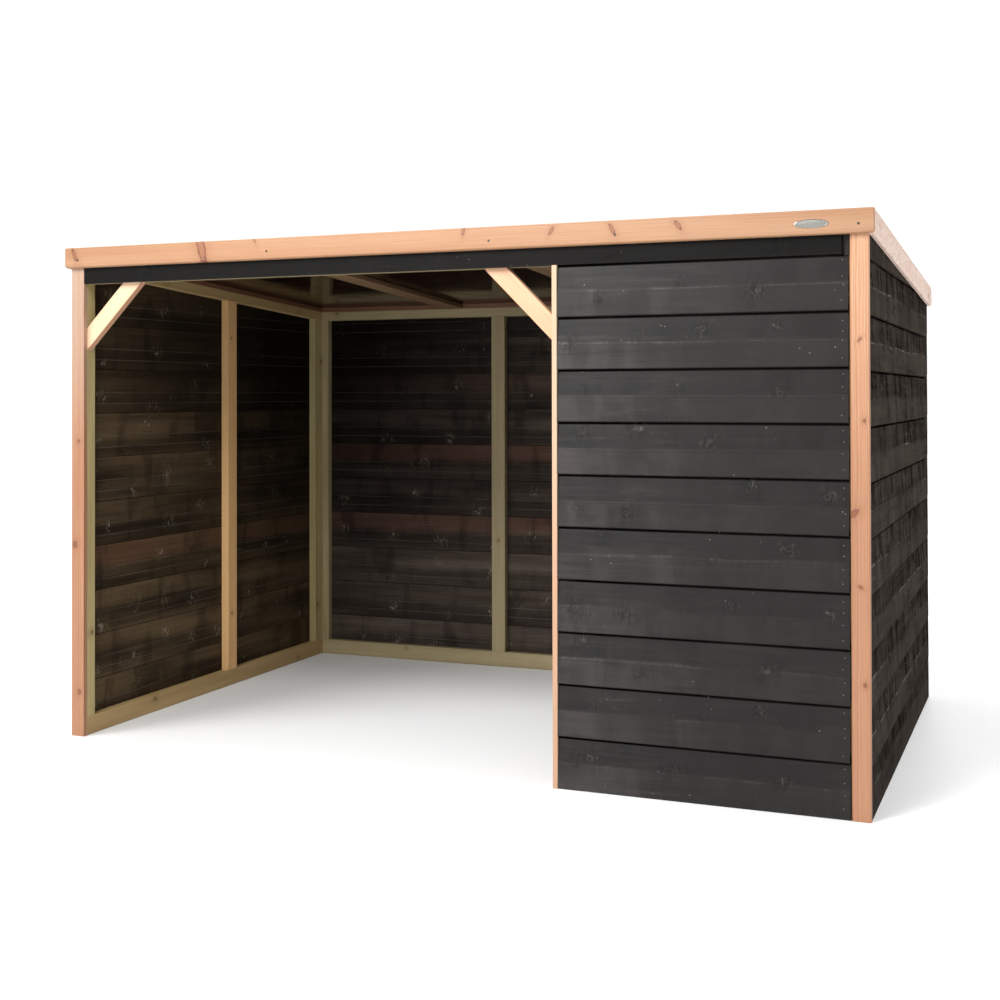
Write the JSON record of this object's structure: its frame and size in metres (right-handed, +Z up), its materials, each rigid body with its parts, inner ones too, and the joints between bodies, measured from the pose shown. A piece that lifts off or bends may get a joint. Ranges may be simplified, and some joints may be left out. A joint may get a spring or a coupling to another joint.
{
  "type": "field shelter",
  "caption": "Open-fronted timber field shelter: lapped black boards outside a frame of studs and plates, a closed panel beside the braced entrance, and a single-pitch roof.",
  "frame": {"origin": "on the ground, in the middle of the footprint", "axes": "+X to the right seen from the entrance side, +Y towards the back wall, +Z up"},
  "size_m": [3.08, 1.88, 1.888],
  "materials": {
    "treated_pine": "sawn and pressure treated, olive brown",
    "planed_fir": "planed, untreated, warm orange brown",
    "pale_fir": "planed, untreated, pale",
    "black_boards": "rough sawn, stained black",
    "film_plywood": "phenolic film, dark brown, glossy",
    "membrane": "matt sheet"
  },
  "bodies": {
    "root": {"left_bottom_plate": "treated_pine", "left_top_plate": "treated_pine", "left_front_stud": "treated_pine", "left_middle_stud": "treated_pine", "left_rear_stud": "treated_pine", "right_bottom_plate": "treated_pine", "right_top_plate": "treated_pine", "right_front_stud": "treated_pine", "right_middle_stud": "treated_pine", "right_rear_stud": "treated_pine", "back_bottom_plate": "treated_pine", "back_top_plate": "treated_pine", "back_stud_1": "treated_pine", "back_stud_2": "treated_pine", "back_stud_3": "treated_pine", "back_stud_4": "treated_pine", "front_bottom_plate": "treated_pine", "front_jamb_stud": "treated_pine", "front_end_stud": "treated_pine", "header_beam": "treated_pine", "header_board": "black_boards", "left_brace": "pale_fir", "right_brace": "pale_fir", "left_corner_board": "planed_fir", "right_corner_board": "planed_fir", "jamb_board": "planed_fir", "left_cladding": "black_boards", "right_cladding": "black_boards", "back_cladding": "black_boards", "front_cladding": "black_boards", "front_fascia": "planed_fir", "left_fascia": "planed_fir", "right_fascia": "planed_fir", "back_fascia": "planed_fir", "left_roof_batten": "treated_pine", "right_roof_batten": "treated_pine", "front_roof_battens": "treated_pine", "back_roof_battens": "treated_pine", "rafter_pair_1": "treated_pine", "rafter_pair_2": "treated_pine", "rafter_pair_3": "treated_pine", "roof_deck": "film_plywood", "roof_membrane": "membrane"}
  },
  "joints": []
}
